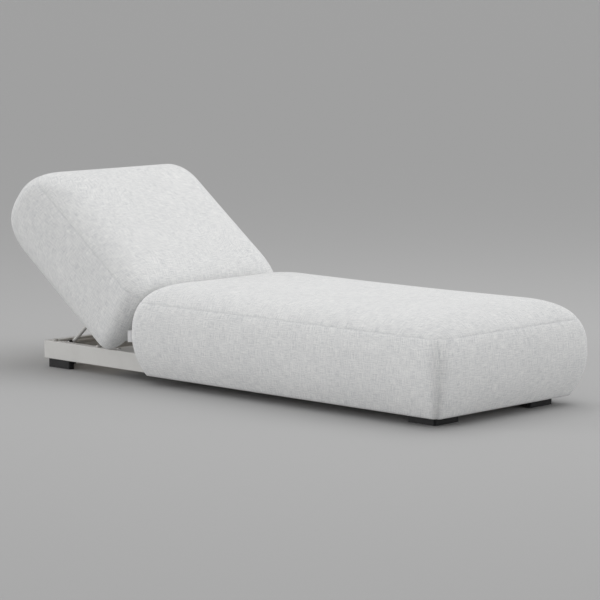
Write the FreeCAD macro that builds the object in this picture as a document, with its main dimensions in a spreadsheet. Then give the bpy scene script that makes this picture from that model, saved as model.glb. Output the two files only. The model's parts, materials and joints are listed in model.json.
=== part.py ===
"""Upholstered chaise longue: rail frame, seat pod, tilting backrest pod and folding prop, in millimetres.

X runs to the foot end, Y to the left of a person lying on it, Z up. The backrest is modelled lying flat
and then turned about its hinge pins to the raised place.
"""
import FreeCAD, Part
import math
import os
import Sketcher

Vector = FreeCAD.Vector
document = FreeCAD.newDocument("ChaiseLongue")
sheet = document.addObject("Spreadsheet::Sheet", "Sizes")

# Driving dimensions: name, millimetres or degrees, what it sets
SIZES = (
    ("frame_length", 1900.0, "length over the side rails and their end caps"),
    ("frame_width", 626.0, "width over the side rails"),
    ("frame_shift", 20.3, "frame centre from the origin, along X"),
    ("rail_width", 30.0, "width of a rail tube"),
    ("rail_height", 66.0, "height of a rail tube"),
    ("rail_wall", 2.5, "wall of a rail tube"),
    ("rail_round", 3.0, "outer edge radius of a rail tube"),
    ("cap_thickness", 3.0, "end cap of a side rail"),
    ("foot_height", 32.0, "height of a corner foot"),
    ("foot_leg", 120.0, "length of each leg of a corner foot"),
    ("foot_width", 20.0, "width of each leg of a corner foot"),
    ("foot_inset", 9.5, "foot set back from the rail faces"),
    ("foot_round", 9.0, "outer corner radius of a foot"),
    ("plate_from_head", 333.0, "head edge of the hinge cross-plate from the frame's head end"),
    ("plate_length", 217.0, "hinge cross-plate along X"),
    ("plate_thickness", 5.0, "sheet of the hinge cross-plate"),
    ("plate_flange", 42.0, "depth of the cross-plate flanges"),
    ("plate_drop", 2.0, "cross-plate top below the rail tops"),
    ("slat_width", 62.0, "seat slat along X"),
    ("slat_thickness", 14.0, "seat slat height"),
    ("slat_from_seat", 49.0, "first seat slat inside the seat pod's head edge"),
    ("slat_from_foot", 49.0, "last seat slat from the foot rail"),
    ("seat_from_head", 581.0, "seat pod bottom edge from the frame's head end"),
    ("skirt_reach", 40.0, "pod bottom edge beyond the rail faces"),
    ("pod_bottom", 33.0, "pod bottom edge above the floor"),
    ("pod_height", 327.0, "pod bottom edge to the shoulder of its top"),
    ("bulge", 48.0, "swell of the pod sides"),
    ("joint_bulge", 41.0, "swell of the two pod ends that face each other"),
    ("bulge_rise", 160.0, "pod bottom edge to the fullest line"),
    ("top_inset", 88.0, "shoulder of the top inside the bottom edge"),
    ("crown_rise", 4.0, "crown of the top above its shoulder"),
    ("crown_inset", 95.0, "crown plateau inside the shoulder"),
    ("corner_foot_round", 24.0, "pod plan corner radius at the bottom edge"),
    ("corner_round", 60.0, "pod plan corner radius at the fullest line"),
    ("cover_thickness", 3.0, "upholstery fabric with its lining"),
    ("soft_clearance", 0.3, "gap at a soft solid"),
    ("fit_clearance", 0.08, "gap all round a pin in its bore"),
    ("backrest_length", 636.0, "backrest pod bottom edge, hinge end to head end"),
    ("recess_clearance", 6.0, "backrest skirts to the rail faces"),
    ("hinge_from_head", 517.0, "hinge pin axis from the frame's head end"),
    ("hinge_z", 190.0, "hinge pin axis above the floor"),
    ("hinge_from_rail", 83.0, "hinge from the inner face of a side rail"),
    ("pod_setback", 57.0, "hinge pin axis to the backrest pod bottom edge, lying flat"),
    ("flat_lift", 2.0, "backrest pod bottom above the seat pod bottom, lying flat"),
    ("rest_tilt", 37.2, "raised backrest above lying flat, in degrees"),
    ("pin_diameter", 10.0, "hinge and prop pins"),
    ("pin_head", 16.0, "pin head diameter"),
    ("pin_head_height", 3.0, "pin head height"),
    ("lug_radius", 13.0, "rounded top of a hinge lug"),
    ("lug_wall", 5.0, "each ear of a hinge lug"),
    ("lug_floor", 9.0, "floor between the ears of a hinge lug"),
    ("arm_thickness", 6.0, "hinge arm plate"),
    ("arm_gap", 0.5, "each side of a hinge arm between the ears"),
    ("tube_size", 20.0, "backrest frame tube, square"),
    ("tube_wall", 2.0, "wall of a backrest frame tube"),
    ("tube_rise", 70.0, "pod bottom edge to the underside of the frame tubes"),
    ("tube_setback", 20.0, "pod bottom edge to the lower cross tube"),
    ("tube_side_gap", 14.0, "side tube to the inside of the skirts"),
    ("board_thickness", 6.0, "backrest board"),
    ("skirt_thickness", 34.0, "backrest skirt at the head end"),
    ("bumper_diameter", 20.0, "rest bumper"),
    ("bumper_from_head", 45.0, "head pair of rest bumpers from the frame's head end"),
    ("bumper_pitch", 235.0, "spacing of the rest bumpers"),
    ("prop_length", 229.0, "prop pivot to the cross rod"),
    ("prop_angle", 41.0, "raised prop above level, in degrees"),
    ("prop_setback", 173.0, "pod bottom edge to the prop pivot, along the backrest"),
    ("prop_rise", 48.0, "pod bottom edge to the prop pivot, square to the backrest"),
    ("prop_diameter", 14.0, "prop arms and cross rod"),
    ("prop_from_rail", 25.0, "prop arm from the inner face of a side rail"),
    ("eye_radius", 12.0, "eye of a prop arm"),
    ("eye_thickness", 15.0, "eye of a prop arm along the pin"),
    ("hub_radius", 20.0, "round end of a ratchet hub"),
    ("hub_thickness", 9.0, "ratchet hub plate"),
    ("hub_gap", 0.4, "ratchet hub to the prop eye"),
    ("glide_diameter", 20.0, "glide sleeve on the cross rod"),
    ("glide_length", 13.0, "glide sleeve along the rod"),
    ("glide_inset", 2.5, "glide sleeve and rod end to the rail face"),
    ("ledge_slope", 14.0, "fall of the prop ledge towards the head end, in degrees"),
    ("ledge_head_gap", 15.0, "prop ledge to the head rail"),
    ("ledge_lead", 34.0, "prop ledge beyond the cross rod towards the hinge"),
    ("ledge_width", 18.0, "prop ledge out from the rail"),
    ("ledge_thickness", 8.0, "prop ledge plate"),
    ("overrun", 20.0, "cut beyond the faces that it opens"),
)
SLAT_COUNT = 7
LOWER_SECTION_SHARES = (0.0, 0.35)
UPPER_SECTION_COUNT = 5
TOP_CORNER_SHARE = 1.5

for row, (alias, value, note) in enumerate(SIZES, start=1):
    sheet.set("A%d" % row, alias)
    sheet.set("B%d" % row, repr(value))
    sheet.set("C%d" % row, note)
    sheet.setAlias("B%d" % row, alias)
document.recompute()
size = {alias: float(sheet.get(alias)) for alias, value, note in SIZES}


def formula(text):
    """Put the sheet's name in front of each size that an expression names."""
    words = []
    for word in text.replace("(", " ( ").replace(")", " ) ").split():
        words.append("Sizes." + word if word in size else word)
    return " ".join(words)


def bind(item, **properties):
    """Tie properties of an object to expressions of the sheet's sizes."""
    for name, text in properties.items():
        item.setExpression(name.replace("__", "."), formula(text))


# Places that follow from the sizes
rail_top = size["foot_height"] + size["rail_height"]
half_frame = size["frame_width"] / 2
half_length = size["frame_length"] / 2
rail_inner_y = half_frame - size["rail_width"]
head_inner_x = size["cap_thickness"] + size["rail_width"] - half_length
foot_inner_x = -head_inner_x
seat_head_x = size["seat_from_head"] - half_length
hinge_y = rail_inner_y - size["hinge_from_rail"]
prop_y = rail_inner_y - size["prop_from_rail"]
hinge = Vector(size["hinge_from_head"] - half_length, 0, size["hinge_z"])
flat_bottom = size["pod_bottom"] + size["flat_lift"]
flat_end_x = hinge.x - size["pod_setback"]
recess_half = half_frame + size["recess_clearance"]
tube_bottom = flat_bottom + size["tube_rise"]
board_bottom = tube_bottom + size["tube_size"]
board_top = board_bottom + size["board_thickness"]
side_tube_y = recess_half - size["tube_side_gap"] - size["tube_size"] / 2
prop_flat = Vector(flat_end_x - size["prop_setback"], 0, flat_bottom + size["prop_rise"])

shift = FreeCAD.Placement(Vector(size["frame_shift"], 0, 0), FreeCAD.Rotation())
up_turn = FreeCAD.Rotation(Vector(0, 1, 0), size["rest_tilt"])
raised = shift.multiply(FreeCAD.Placement(Vector(), up_turn, hinge))
prop_pivot = hinge + up_turn.multVec(prop_flat - hinge)
prop_slant = math.radians(size["prop_angle"])
prop_reach = Vector(-math.cos(prop_slant), 0, -math.sin(prop_slant)) * size["prop_length"]
rod_centre = prop_pivot + prop_reach

nodes = []


def keep(item, label, placement=shift):
    """Name a finished sub-part and put it in its place."""
    document.recompute()
    item.Label = label
    item.Placement = placement.multiply(item.Placement)
    nodes.append(item)
    return item


def solid(shape, label, placement=shift):
    """A sub-part whose shape is set by code."""
    item = document.addObject("Part::Feature", label)
    item.Shape = shape
    return keep(item, label, placement)


def block(x_from, x_to, y_from, y_to, z_from, z_to):
    """A box between two corners."""
    return Part.makeBox(x_to - x_from, y_to - y_from, z_to - z_from, Vector(x_from, y_from, z_from))


def sketch_on(body, role, name):
    """A sketch on one of a body's own origin planes."""
    sketch = body.newObject("Sketcher::SketchObject", name)
    plane = [feature for feature in body.Origin.OriginFeatures if feature.Role == role][0]
    sketch.AttachmentSupport = [(plane, "")]
    sketch.MapMode = "FlatFace"
    return sketch


def limit(sketch, kind, places, value, text):
    """A dimension of a sketch, tied to the sheet."""
    index = sketch.addConstraint(Sketcher.Constraint(kind, *places, value))
    sketch.setExpression("Constraints[%d]" % index, formula(text))


def centred_rectangle(sketch, wide, wide_text, high, high_text):
    """A rectangle about the sketch's origin with its two sizes tied to the sheet."""
    first = sketch.GeometryCount
    corners = [Vector(-wide / 2, -high / 2), Vector(wide / 2, -high / 2)]
    corners += [Vector(wide / 2, high / 2), Vector(-wide / 2, high / 2)]
    for turn in range(4):
        sketch.addGeometry(Part.LineSegment(corners[turn], corners[(turn + 1) % 4]), False)
    for turn in range(4):
        following = first + (turn + 1) % 4
        sketch.addConstraint(Sketcher.Constraint("Coincident", first + turn, 2, following, 1))
        sketch.addConstraint(Sketcher.Constraint(("Horizontal", "Vertical")[turn % 2], first + turn))
    sketch.addConstraint(Sketcher.Constraint("Symmetric", first, 1, first + 2, 1, -1, 1))
    limit(sketch, "DistanceX", (first, 1, first, 2), wide, wide_text)
    limit(sketch, "DistanceY", (first + 1, 1, first + 1, 2), high, high_text)


def centred_circle(sketch, radius, text):
    """A circle about the sketch's origin."""
    index = sketch.addGeometry(Part.Circle(Vector(), Vector(0, 0, 1), radius), False)
    sketch.addConstraint(Sketcher.Constraint("Coincident", index, 3, -1, 1))
    limit(sketch, "Radius", (index,), radius, text)


def pad(body, sketch, name, length_text):
    """Pad a sketch evenly to both sides."""
    feature = body.newObject("PartDesign::Pad", name)
    feature.Profile = sketch
    feature.Midplane = True
    bind(feature, Length=length_text)
    document.recompute()
    return feature


def pocket_through(body, sketch, name):
    """Cut a sketch through the whole body, both ways."""
    feature = body.newObject("PartDesign::Pocket", name)
    feature.Profile = sketch
    feature.Type = "ThroughAll"
    feature.Midplane = True
    document.recompute()
    return feature


def round_edges(body, base, name, radius_text, wanted):
    """Fillet the edges of a feature that a test picks."""
    names = ["Edge%d" % place for place, edge in enumerate(base.Shape.Edges, start=1) if wanted(edge)]
    feature = body.newObject("PartDesign::Fillet", name)
    feature.Base = (base, names)
    bind(feature, Radius=radius_text)
    document.recompute()


def tube(label, plane, length_text, wide, high, wall, radius, at, placement=shift):
    """A square-cut rectangular tube along the plane's normal, centred on a point."""
    body = document.addObject("PartDesign::Body", label)
    profile = sketch_on(body, plane, label + "_profile")
    swap = plane == "XZ_Plane"
    centred_rectangle(profile, size[wide], wide, size[high], high)
    inner_wide = size[wide] - 2 * size[wall]
    inner_high = size[high] - 2 * size[wall]
    centred_rectangle(profile, inner_wide, "%s - 2 * %s" % (wide, wall),
                      inner_high, "%s - 2 * %s" % (high, wall))
    base = pad(body, profile, label + "_tube", length_text)
    if radius:
        along = Vector(0, 1, 0) if swap else Vector(1, 0, 0)
        reach = math.hypot(size[wide], size[high]) / 2 - size[wall]

        def outer(edge):
            middle = edge.CenterOfMass - along * edge.CenterOfMass.dot(along)
            return abs(edge.tangentAt(edge.FirstParameter).dot(along)) > 0.9 and middle.Length > reach
        round_edges(body, base, label + "_rounds", radius, outer)
    body.Placement = FreeCAD.Placement(at, FreeCAD.Rotation())
    return keep(body, label, placement)


# Rail frame
rail_z = size["foot_height"] + size["rail_height"] / 2
for side, name in ((1, "left"), (-1, "right")):
    middle = Vector(0, side * (half_frame - size["rail_width"] / 2), rail_z)
    tube(name + "_side_rail", "YZ_Plane", "frame_length - 2 * cap_thickness",
         "rail_width", "rail_height", "rail_wall", "rail_round", middle)
for end, name in ((1, "foot"), (-1, "head")):
    middle = Vector(end * (half_length - size["cap_thickness"] - size["rail_width"] / 2), 0, rail_z)
    tube(name + "_rail", "XZ_Plane", "frame_width - 2 * rail_width",
         "rail_width", "rail_height", "rail_wall", "rail_round", middle)


def end_caps():
    """Flat caps that close the open ends of the side rails."""
    plates = []
    for end in (1, -1):
        for side in (1, -1):
            plate = block(0, size["cap_thickness"], -size["rail_width"] / 2, size["rail_width"] / 2,
                          0, size["rail_height"])
            plate = plate.makeFillet(size["rail_round"], [
                edge for edge in plate.Edges if abs(edge.tangentAt(edge.FirstParameter).x) > 0.9])
            start = half_length - size["cap_thickness"] if end > 0 else -half_length
            plate.translate(Vector(start, side * (half_frame - size["rail_width"] / 2),
                                   size["foot_height"]))
            plates.append(plate)
    return Part.makeCompound(plates)


solid(end_caps(), "rail_end_caps")


def corner_foot(label, corner_x, corner_y, turn):
    """An L-shaped foot under a frame corner, its legs along the two rails."""
    body = document.addObject("PartDesign::Body", label)
    outline = sketch_on(body, "XY_Plane", label + "_outline")
    leg = size["foot_leg"]
    wide = size["foot_width"]
    corners = [Vector(0, 0), Vector(leg, 0), Vector(leg, wide)]
    corners += [Vector(wide, wide), Vector(wide, leg), Vector(0, leg)]
    for place in range(6):
        outline.addGeometry(Part.LineSegment(corners[place], corners[(place + 1) % 6]), False)
    for place in range(6):
        outline.addConstraint(Sketcher.Constraint("Coincident", place, 2, (place + 1) % 6, 1))
        outline.addConstraint(Sketcher.Constraint(("Horizontal", "Vertical")[place % 2], place))
    outline.addConstraint(Sketcher.Constraint("Coincident", 0, 1, -1, 1))
    outline.addConstraint(Sketcher.Constraint("Equal", 0, 5))
    outline.addConstraint(Sketcher.Constraint("Equal", 1, 4))
    limit(outline, "DistanceX", (0, 1, 0, 2), leg, "foot_leg")
    limit(outline, "DistanceY", (1, 1, 1, 2), wide, "foot_width")
    base = pad(body, outline, label + "_block", "foot_height")

    def upright_outer(edge):
        upright = abs(edge.tangentAt(edge.FirstParameter).z) > 0.9
        place = edge.CenterOfMass
        return upright and (min(place.x, place.y) < wide / 2)
    round_edges(body, base, label + "_rounds", "foot_round", upright_outer)
    body.Placement = FreeCAD.Placement(Vector(corner_x, corner_y, size["foot_height"] / 2),
                                       FreeCAD.Rotation(Vector(0, 0, 1), turn))
    keep(body, label)


foot_x = half_length - size["foot_inset"]
foot_y = half_frame - size["foot_inset"]
quarter = 90
for count, (name, sign_x, sign_y) in enumerate((
        ("head_right_foot", -1, -1), ("foot_right_foot", 1, -1),
        ("foot_left_foot", 1, 1), ("head_left_foot", -1, 1))):
    corner_foot(name, sign_x * foot_x, sign_y * foot_y, count * quarter)


def cross_plate():
    """Folded channel between the side rails that carries the hinge lugs."""
    body = document.addObject("PartDesign::Body", "hinge_cross_plate")
    profile = sketch_on(body, "XZ_Plane", "plate_profile")
    long = size["plate_length"]
    deep = size["plate_flange"]
    sheet_metal = size["plate_thickness"]
    corners = [Vector(0, 0), Vector(0, -deep), Vector(sheet_metal, -deep),
               Vector(sheet_metal, -sheet_metal), Vector(long - sheet_metal, -sheet_metal),
               Vector(long - sheet_metal, -deep), Vector(long, -deep), Vector(long, 0)]
    total = len(corners)
    for place in range(total):
        profile.addGeometry(Part.LineSegment(corners[place], corners[(place + 1) % total]), False)
    for place in range(total):
        profile.addConstraint(Sketcher.Constraint("Coincident", place, 2, (place + 1) % total, 1))
        profile.addConstraint(Sketcher.Constraint(("Vertical", "Horizontal")[place % 2], place))
    profile.addConstraint(Sketcher.Constraint("Coincident", 0, 1, -1, 1))
    profile.addConstraint(Sketcher.Constraint("Equal", 0, 6))
    profile.addConstraint(Sketcher.Constraint("Equal", 1, 5))
    limit(profile, "DistanceY", (0, 2, 0, 1), deep, "plate_flange")
    limit(profile, "DistanceX", (1, 1, 1, 2), sheet_metal, "plate_thickness")
    limit(profile, "DistanceY", (2, 1, 2, 2), deep - sheet_metal, "plate_flange - plate_thickness")
    limit(profile, "DistanceX", (7, 2, 7, 1), long, "plate_length")
    pad(body, profile, "plate_channel", "frame_width - 2 * rail_width")
    body.Placement = FreeCAD.Placement(
        Vector(size["plate_from_head"] - half_length, 0, rail_top - size["plate_drop"]), FreeCAD.Rotation())
    keep(body, "hinge_cross_plate")


cross_plate()


def seat_slats():
    """Slats between the side rails, flush with their tops."""
    slats = []
    first = seat_head_x + size["slat_from_seat"]
    pitch = (foot_inner_x - size["slat_from_foot"] - first) / (SLAT_COUNT - 1)
    for count in range(SLAT_COUNT):
        middle = first + count * pitch
        slats.append(block(middle - size["slat_width"] / 2, middle + size["slat_width"] / 2,
                           -rail_inner_y, rail_inner_y, rail_top - size["slat_thickness"], rail_top))
    return Part.makeCompound(slats)


solid(seat_slats(), "seat_slats")


# Hinges
def hinge_lug(label, side):
    """A clevis on the cross-plate: two round-topped ears and a floor, bored for the pin."""
    body = document.addObject("PartDesign::Body", label)
    outline = sketch_on(body, "XZ_Plane", label + "_outline")
    radius = size["lug_radius"]
    drop = size["hinge_z"] - rail_top + size["plate_drop"]
    outline.addGeometry(Part.LineSegment(Vector(-radius, -drop), Vector(radius, -drop)), False)
    outline.addGeometry(Part.LineSegment(Vector(radius, -drop), Vector(radius, 0)), False)
    outline.addGeometry(Part.Arc(Vector(radius, 0), Vector(0, radius), Vector(-radius, 0)), False)
    outline.addGeometry(Part.LineSegment(Vector(-radius, 0), Vector(-radius, -drop)), False)
    outline.addConstraint(Sketcher.Constraint("Coincident", 0, 2, 1, 1))
    outline.addConstraint(Sketcher.Constraint("Tangent", 1, 2, 2, 1))
    outline.addConstraint(Sketcher.Constraint("Tangent", 2, 2, 3, 1))
    outline.addConstraint(Sketcher.Constraint("Coincident", 3, 2, 0, 1))
    outline.addConstraint(Sketcher.Constraint("Horizontal", 0))
    outline.addConstraint(Sketcher.Constraint("Vertical", 1))
    outline.addConstraint(Sketcher.Constraint("Coincident", 2, 3, -1, 1))
    limit(outline, "Radius", (2,), radius, "lug_radius")
    limit(outline, "DistanceY", (1, 1, 1, 2), drop, "hinge_z - foot_height - rail_height + plate_drop")
    pad(body, outline, label + "_block", "2 * lug_wall + arm_thickness + 2 * arm_gap")
    slot = sketch_on(body, "YZ_Plane", label + "_slot")
    wide = size["arm_thickness"] + 2 * size["arm_gap"]
    high = 2 * (drop - size["lug_floor"])
    centred_rectangle(slot, wide, "arm_thickness + 2 * arm_gap", high,
                      "2 * ( hinge_z - foot_height - rail_height + plate_drop - lug_floor )")
    pocket_through(body, slot, label + "_gap")
    bore = sketch_on(body, "XZ_Plane", label + "_bore")
    centred_circle(bore, size["pin_diameter"] / 2 + size["fit_clearance"],
                   "pin_diameter / 2 + fit_clearance")
    pocket_through(body, bore, label + "_hole")
    body.Placement = FreeCAD.Placement(hinge + Vector(0, side * hinge_y, 0), FreeCAD.Rotation())
    keep(body, label)


def upright_plate(edges, y_from, thickness):
    """A plate cut to a closed outline in the XZ plane and thickened along Y."""
    face = Part.Face(Part.Wire([edge.toShape() for edge in edges]))
    plate = face.extrude(Vector(0, thickness, 0))
    plate.translate(Vector(0, y_from, 0))
    return plate


def cross_bore(centre, diameter):
    """A bore along Y through everything at a point."""
    reach = size["frame_width"]
    return Part.makeCylinder(diameter / 2, 2 * reach, centre - Vector(0, reach, 0), Vector(0, 1, 0))


pin_bore = size["pin_diameter"] + 2 * size["fit_clearance"]


def hinge_arm(side):
    """A plate from the hinge pin to the backrest's lower cross tube, widening to its welded end."""
    radius = size["lug_radius"]
    weld_x = flat_end_x - size["tube_setback"]
    high = Vector(weld_x, 0, board_bottom)
    low = Vector(weld_x, 0, tube_bottom)

    def touch(corner, hand):
        """Point of the eye where the line from a corner of the welded end meets it."""
        away = corner - hinge
        angle = math.atan2(away.z, away.x) + hand * math.acos(radius / away.Length)
        return hinge + Vector(radius * math.cos(angle), 0, radius * math.sin(angle))
    over = touch(high, -1)
    under = touch(low, 1)
    crest = hinge + (hinge - (high + low) / 2).normalize() * radius
    edges = [Part.LineSegment(high, low), Part.LineSegment(low, under),
             Part.Arc(under, crest, over), Part.LineSegment(over, high)]
    plate = upright_plate(edges, side * hinge_y - size["arm_thickness"] / 2,
                          size["arm_thickness"])
    return plate.cut(cross_bore(hinge, pin_bore))


def headed_pin(y_from, y_to, centre, head_side):
    """A pin along Y with a head beyond one of its ends."""
    shank = Part.makeCylinder(size["pin_diameter"] / 2, y_to - y_from,
                              Vector(centre.x, y_from, centre.z), Vector(0, 1, 0))
    head_y = y_to if head_side > 0 else y_from
    head = Part.makeCylinder(size["pin_head"] / 2, size["pin_head_height"],
                             Vector(centre.x, head_y, centre.z), Vector(0, head_side, 0))
    return shank.fuse(head)


lug_half = size["lug_wall"] + size["arm_thickness"] / 2 + size["arm_gap"]
for side, name in ((1, "left"), (-1, "right")):
    hinge_lug(name + "_hinge_lug", side)
    solid(hinge_arm(side), name + "_hinge_arm", raised)
    pin_y = side * hinge_y
    solid(headed_pin(pin_y - lug_half, pin_y + lug_half, hinge, side), name + "_hinge_pin")


# Backrest frame, lying flat
tube_z = tube_bottom + size["tube_size"] / 2
tube_start_x = flat_end_x - size["tube_setback"]
tube_end_x = flat_end_x - size["backrest_length"] + size["skirt_thickness"] + size["tube_side_gap"]
side_length = "backrest_length - skirt_thickness - tube_side_gap - tube_setback"
cross_length = "frame_width + 2 * recess_clearance - 2 * tube_side_gap - 2 * tube_size"
for side, name in ((1, "left"), (-1, "right")):
    tube("backrest_%s_tube" % name, "YZ_Plane", side_length, "tube_size", "tube_size", "tube_wall", None,
         Vector((tube_start_x + tube_end_x) / 2, side * side_tube_y, tube_z), raised)
for middle, name in ((tube_start_x - size["tube_size"] / 2, "lower"), (prop_flat.x, "middle"),
                     (tube_end_x + size["tube_size"] / 2, "upper")):
    tube("backrest_%s_tube" % name, "XZ_Plane", cross_length, "tube_size", "tube_size", "tube_wall", None,
         Vector(middle, 0, tube_z), raised)
board_half = side_tube_y + size["tube_size"] / 2
solid(block(tube_end_x, tube_start_x, -board_half, board_half, board_bottom, board_top),
      "backrest_board", raised)


# Upholstered pods
def rounded_rectangle(x_low, x_high, y_half, radius, height):
    """A level outline of four lines and four quarter arcs."""
    bend = radius * (1 - math.sqrt(0.5))
    edges = []
    corners = (
        (x_high, y_half, -1, -1),
        (x_low, y_half, 1, -1),
        (x_low, -y_half, 1, 1),
        (x_high, -y_half, -1, 1),
    )
    ends = []
    for count, (x, y, in_x, in_y) in enumerate(corners):
        upright = Vector(x, y + in_y * radius, height)
        level = Vector(x + in_x * radius, y, height)
        middle = Vector(x + in_x * bend, y + in_y * bend, height)
        ends.append((upright, middle, level) if count % 2 == 0 else (level, middle, upright))
    for count, (start, middle, stop) in enumerate(ends):
        edges.append(Part.Arc(start, middle, stop).toShape())
        edges.append(Part.LineSegment(stop, ends[(count + 1) % 4][0]).toShape())
    return Part.Wire(edges)


def swell_profile():
    """Heights and outward swells, as shares of the bulge and of the top inset, with corner radii."""
    rows = []
    for share in LOWER_SECTION_SHARES:
        radius = size["corner_foot_round"] + share * (size["corner_round"] - size["corner_foot_round"])
        rows.append((share * size["bulge_rise"], 1 - (1 - share) ** 2, 0.0, radius))
    for count in range(UPPER_SECTION_COUNT + 1):
        angle = math.pi / 2 * count / UPPER_SECTION_COUNT
        rise = size["pod_height"] - size["bulge_rise"]
        drawn = 1 - math.cos(angle)
        radius = size["corner_round"] * (1 + drawn * (TOP_CORNER_SHARE - 1))
        rows.append((size["bulge_rise"] + rise * math.sin(angle), 1.0, drawn, radius))
    return rows


def pod(x_low, x_high, y_half, bottom, low_bulge, high_bulge, inward):
    """A cushion pod: drawn in below, full at mid height, well rounded into a crowned top."""
    outlines = []
    for rise, swell, drawn, radius in swell_profile():
        low = x_low - low_bulge * swell + drawn * (low_bulge + size["top_inset"]) + inward
        high = x_high + high_bulge * swell - drawn * (high_bulge + size["top_inset"]) - inward
        half = y_half + size["bulge"] * swell - drawn * (size["bulge"] + size["top_inset"]) - inward
        outlines.append(rounded_rectangle(low, high, half, radius - inward, bottom + rise - drawn * inward))
    inset = size["top_inset"] + size["crown_inset"] + inward
    top = bottom + size["pod_height"] + size["crown_rise"] - inward
    outlines.append(rounded_rectangle(x_low + inset, x_high - inset, y_half - inset,
                                      size["corner_round"], top))
    return Part.makeLoft(outlines, True, True)


pod_half = half_frame + size["skirt_reach"]
seat_foot_x = half_length + size["skirt_reach"]
back_head_x = flat_end_x - size["backrest_length"]
foam_inset = size["cover_thickness"] + size["soft_clearance"]
seat_bulges = (size["joint_bulge"], size["bulge"])
back_bulges = (size["bulge"], size["joint_bulge"])
far = size["frame_length"]
seat_outer = pod(seat_head_x, seat_foot_x, pod_half, size["pod_bottom"], *seat_bulges, 0)
seat_lining = pod(seat_head_x, seat_foot_x, pod_half, size["pod_bottom"], *seat_bulges,
                  size["cover_thickness"])
seat_foam = pod(seat_head_x, seat_foot_x, pod_half, size["pod_bottom"], *seat_bulges, foam_inset)
back_outer = pod(back_head_x, flat_end_x, pod_half, flat_bottom, *back_bulges, 0)
back_lining = pod(back_head_x, flat_end_x, pod_half, flat_bottom, *back_bulges, size["cover_thickness"])
back_foam = pod(back_head_x, flat_end_x, pod_half, flat_bottom, *back_bulges, foam_inset)

gap = size["soft_clearance"]
frame_top = rail_top + gap
skirt_y = half_frame + gap
skirt_x = half_length + gap


def kept(shape, x_from, x_to, y_from, y_to, z_from, z_to):
    """The part of a shape inside a box."""
    return shape.common(block(x_from, x_to, y_from, y_to, z_from, z_to))


# Seat foam above the rails, and the strips of it outside them
solid(kept(seat_foam, -far, far, -far, far, frame_top, far), "seat_foam")
solid(kept(seat_foam, -far, far, skirt_y, far, 0, rail_top), "seat_left_skirt")
solid(kept(seat_foam, -far, far, -far, -skirt_y, 0, rail_top), "seat_right_skirt")
solid(kept(seat_foam, skirt_x, far, -half_frame, half_frame, 0, rail_top), "seat_foot_skirt")
seat_hollow = seat_lining.fuse(block(-far, skirt_x, -skirt_y, skirt_y, 0, frame_top))
solid(seat_outer.cut(seat_hollow), "seat_cover")

# Backrest foam over its board, with slits for the hinge arms, and the skirts that pass outside the rails
slit_half = size["arm_thickness"] / 2 + size["recess_clearance"]
back_frame_top = board_top + gap
lower_face_x = tube_start_x + gap
slits = [block(lower_face_x - gap, far, side * hinge_y - slit_half,
               side * hinge_y + slit_half, 0, size["hinge_z"] + 2 * size["lug_radius"])
         for side in (1, -1)]
back_core = kept(back_foam, -far, far, -far, far, tube_bottom, far)
back_core = back_core.cut(block(-far, lower_face_x, -far, far, 0, back_frame_top))
back_core = back_core.cut(block(lower_face_x - size["overrun"], far, recess_half, far, 0, back_frame_top))
back_core = back_core.cut(block(lower_face_x - size["overrun"], far, -far, -recess_half, 0, back_frame_top))
for slit in slits:
    back_core = back_core.cut(slit)
solid(back_core, "backrest_foam", raised)
recess_head_x = back_head_x + size["skirt_thickness"]
solid(kept(back_foam, -far, far, recess_half, far, 0, board_top), "backrest_left_skirt", raised)
solid(kept(back_foam, -far, far, -far, -recess_half, 0, board_top), "backrest_right_skirt", raised)
solid(kept(back_foam, -far, recess_head_x, -recess_half + gap, recess_half - gap, 0, board_top),
      "backrest_head_skirt", raised)
recess = block(recess_head_x - gap, tube_start_x, -recess_half + gap, recess_half - gap, 0, board_top)
mouth = block(tube_start_x - size["overrun"], far, -recess_half + gap, recess_half - gap, 0, tube_bottom)
back_cover = back_outer.cut(back_lining).cut(recess).cut(mouth)
for slit in slits:
    back_cover = back_cover.cut(slit)
solid(back_cover, "backrest_cover", raised)


# Prop that folds under the backrest
def ratchet_hub(side):
    """A hanging plate on the middle tube with a round end about the prop pin."""
    radius = size["hub_radius"]
    left = Vector(prop_flat.x - radius, 0, prop_flat.z)
    right = Vector(prop_flat.x + radius, 0, prop_flat.z)
    bottom = prop_flat - Vector(0, 0, radius)
    weld_half = size["tube_size"] / 2
    edges = [Part.LineSegment(Vector(prop_flat.x + weld_half, 0, tube_bottom),
                              Vector(prop_flat.x - weld_half, 0, tube_bottom)),
             Part.LineSegment(Vector(prop_flat.x - weld_half, 0, tube_bottom), left),
             Part.Arc(left, bottom, right),
             Part.LineSegment(right, Vector(prop_flat.x + weld_half, 0, tube_bottom))]
    inner = prop_y - size["eye_thickness"] / 2 - size["hub_gap"] - size["hub_thickness"]
    start = inner if side > 0 else -inner - size["hub_thickness"]
    plate = upright_plate(edges, start, size["hub_thickness"])
    return plate.cut(cross_bore(prop_flat, pin_bore))


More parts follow.
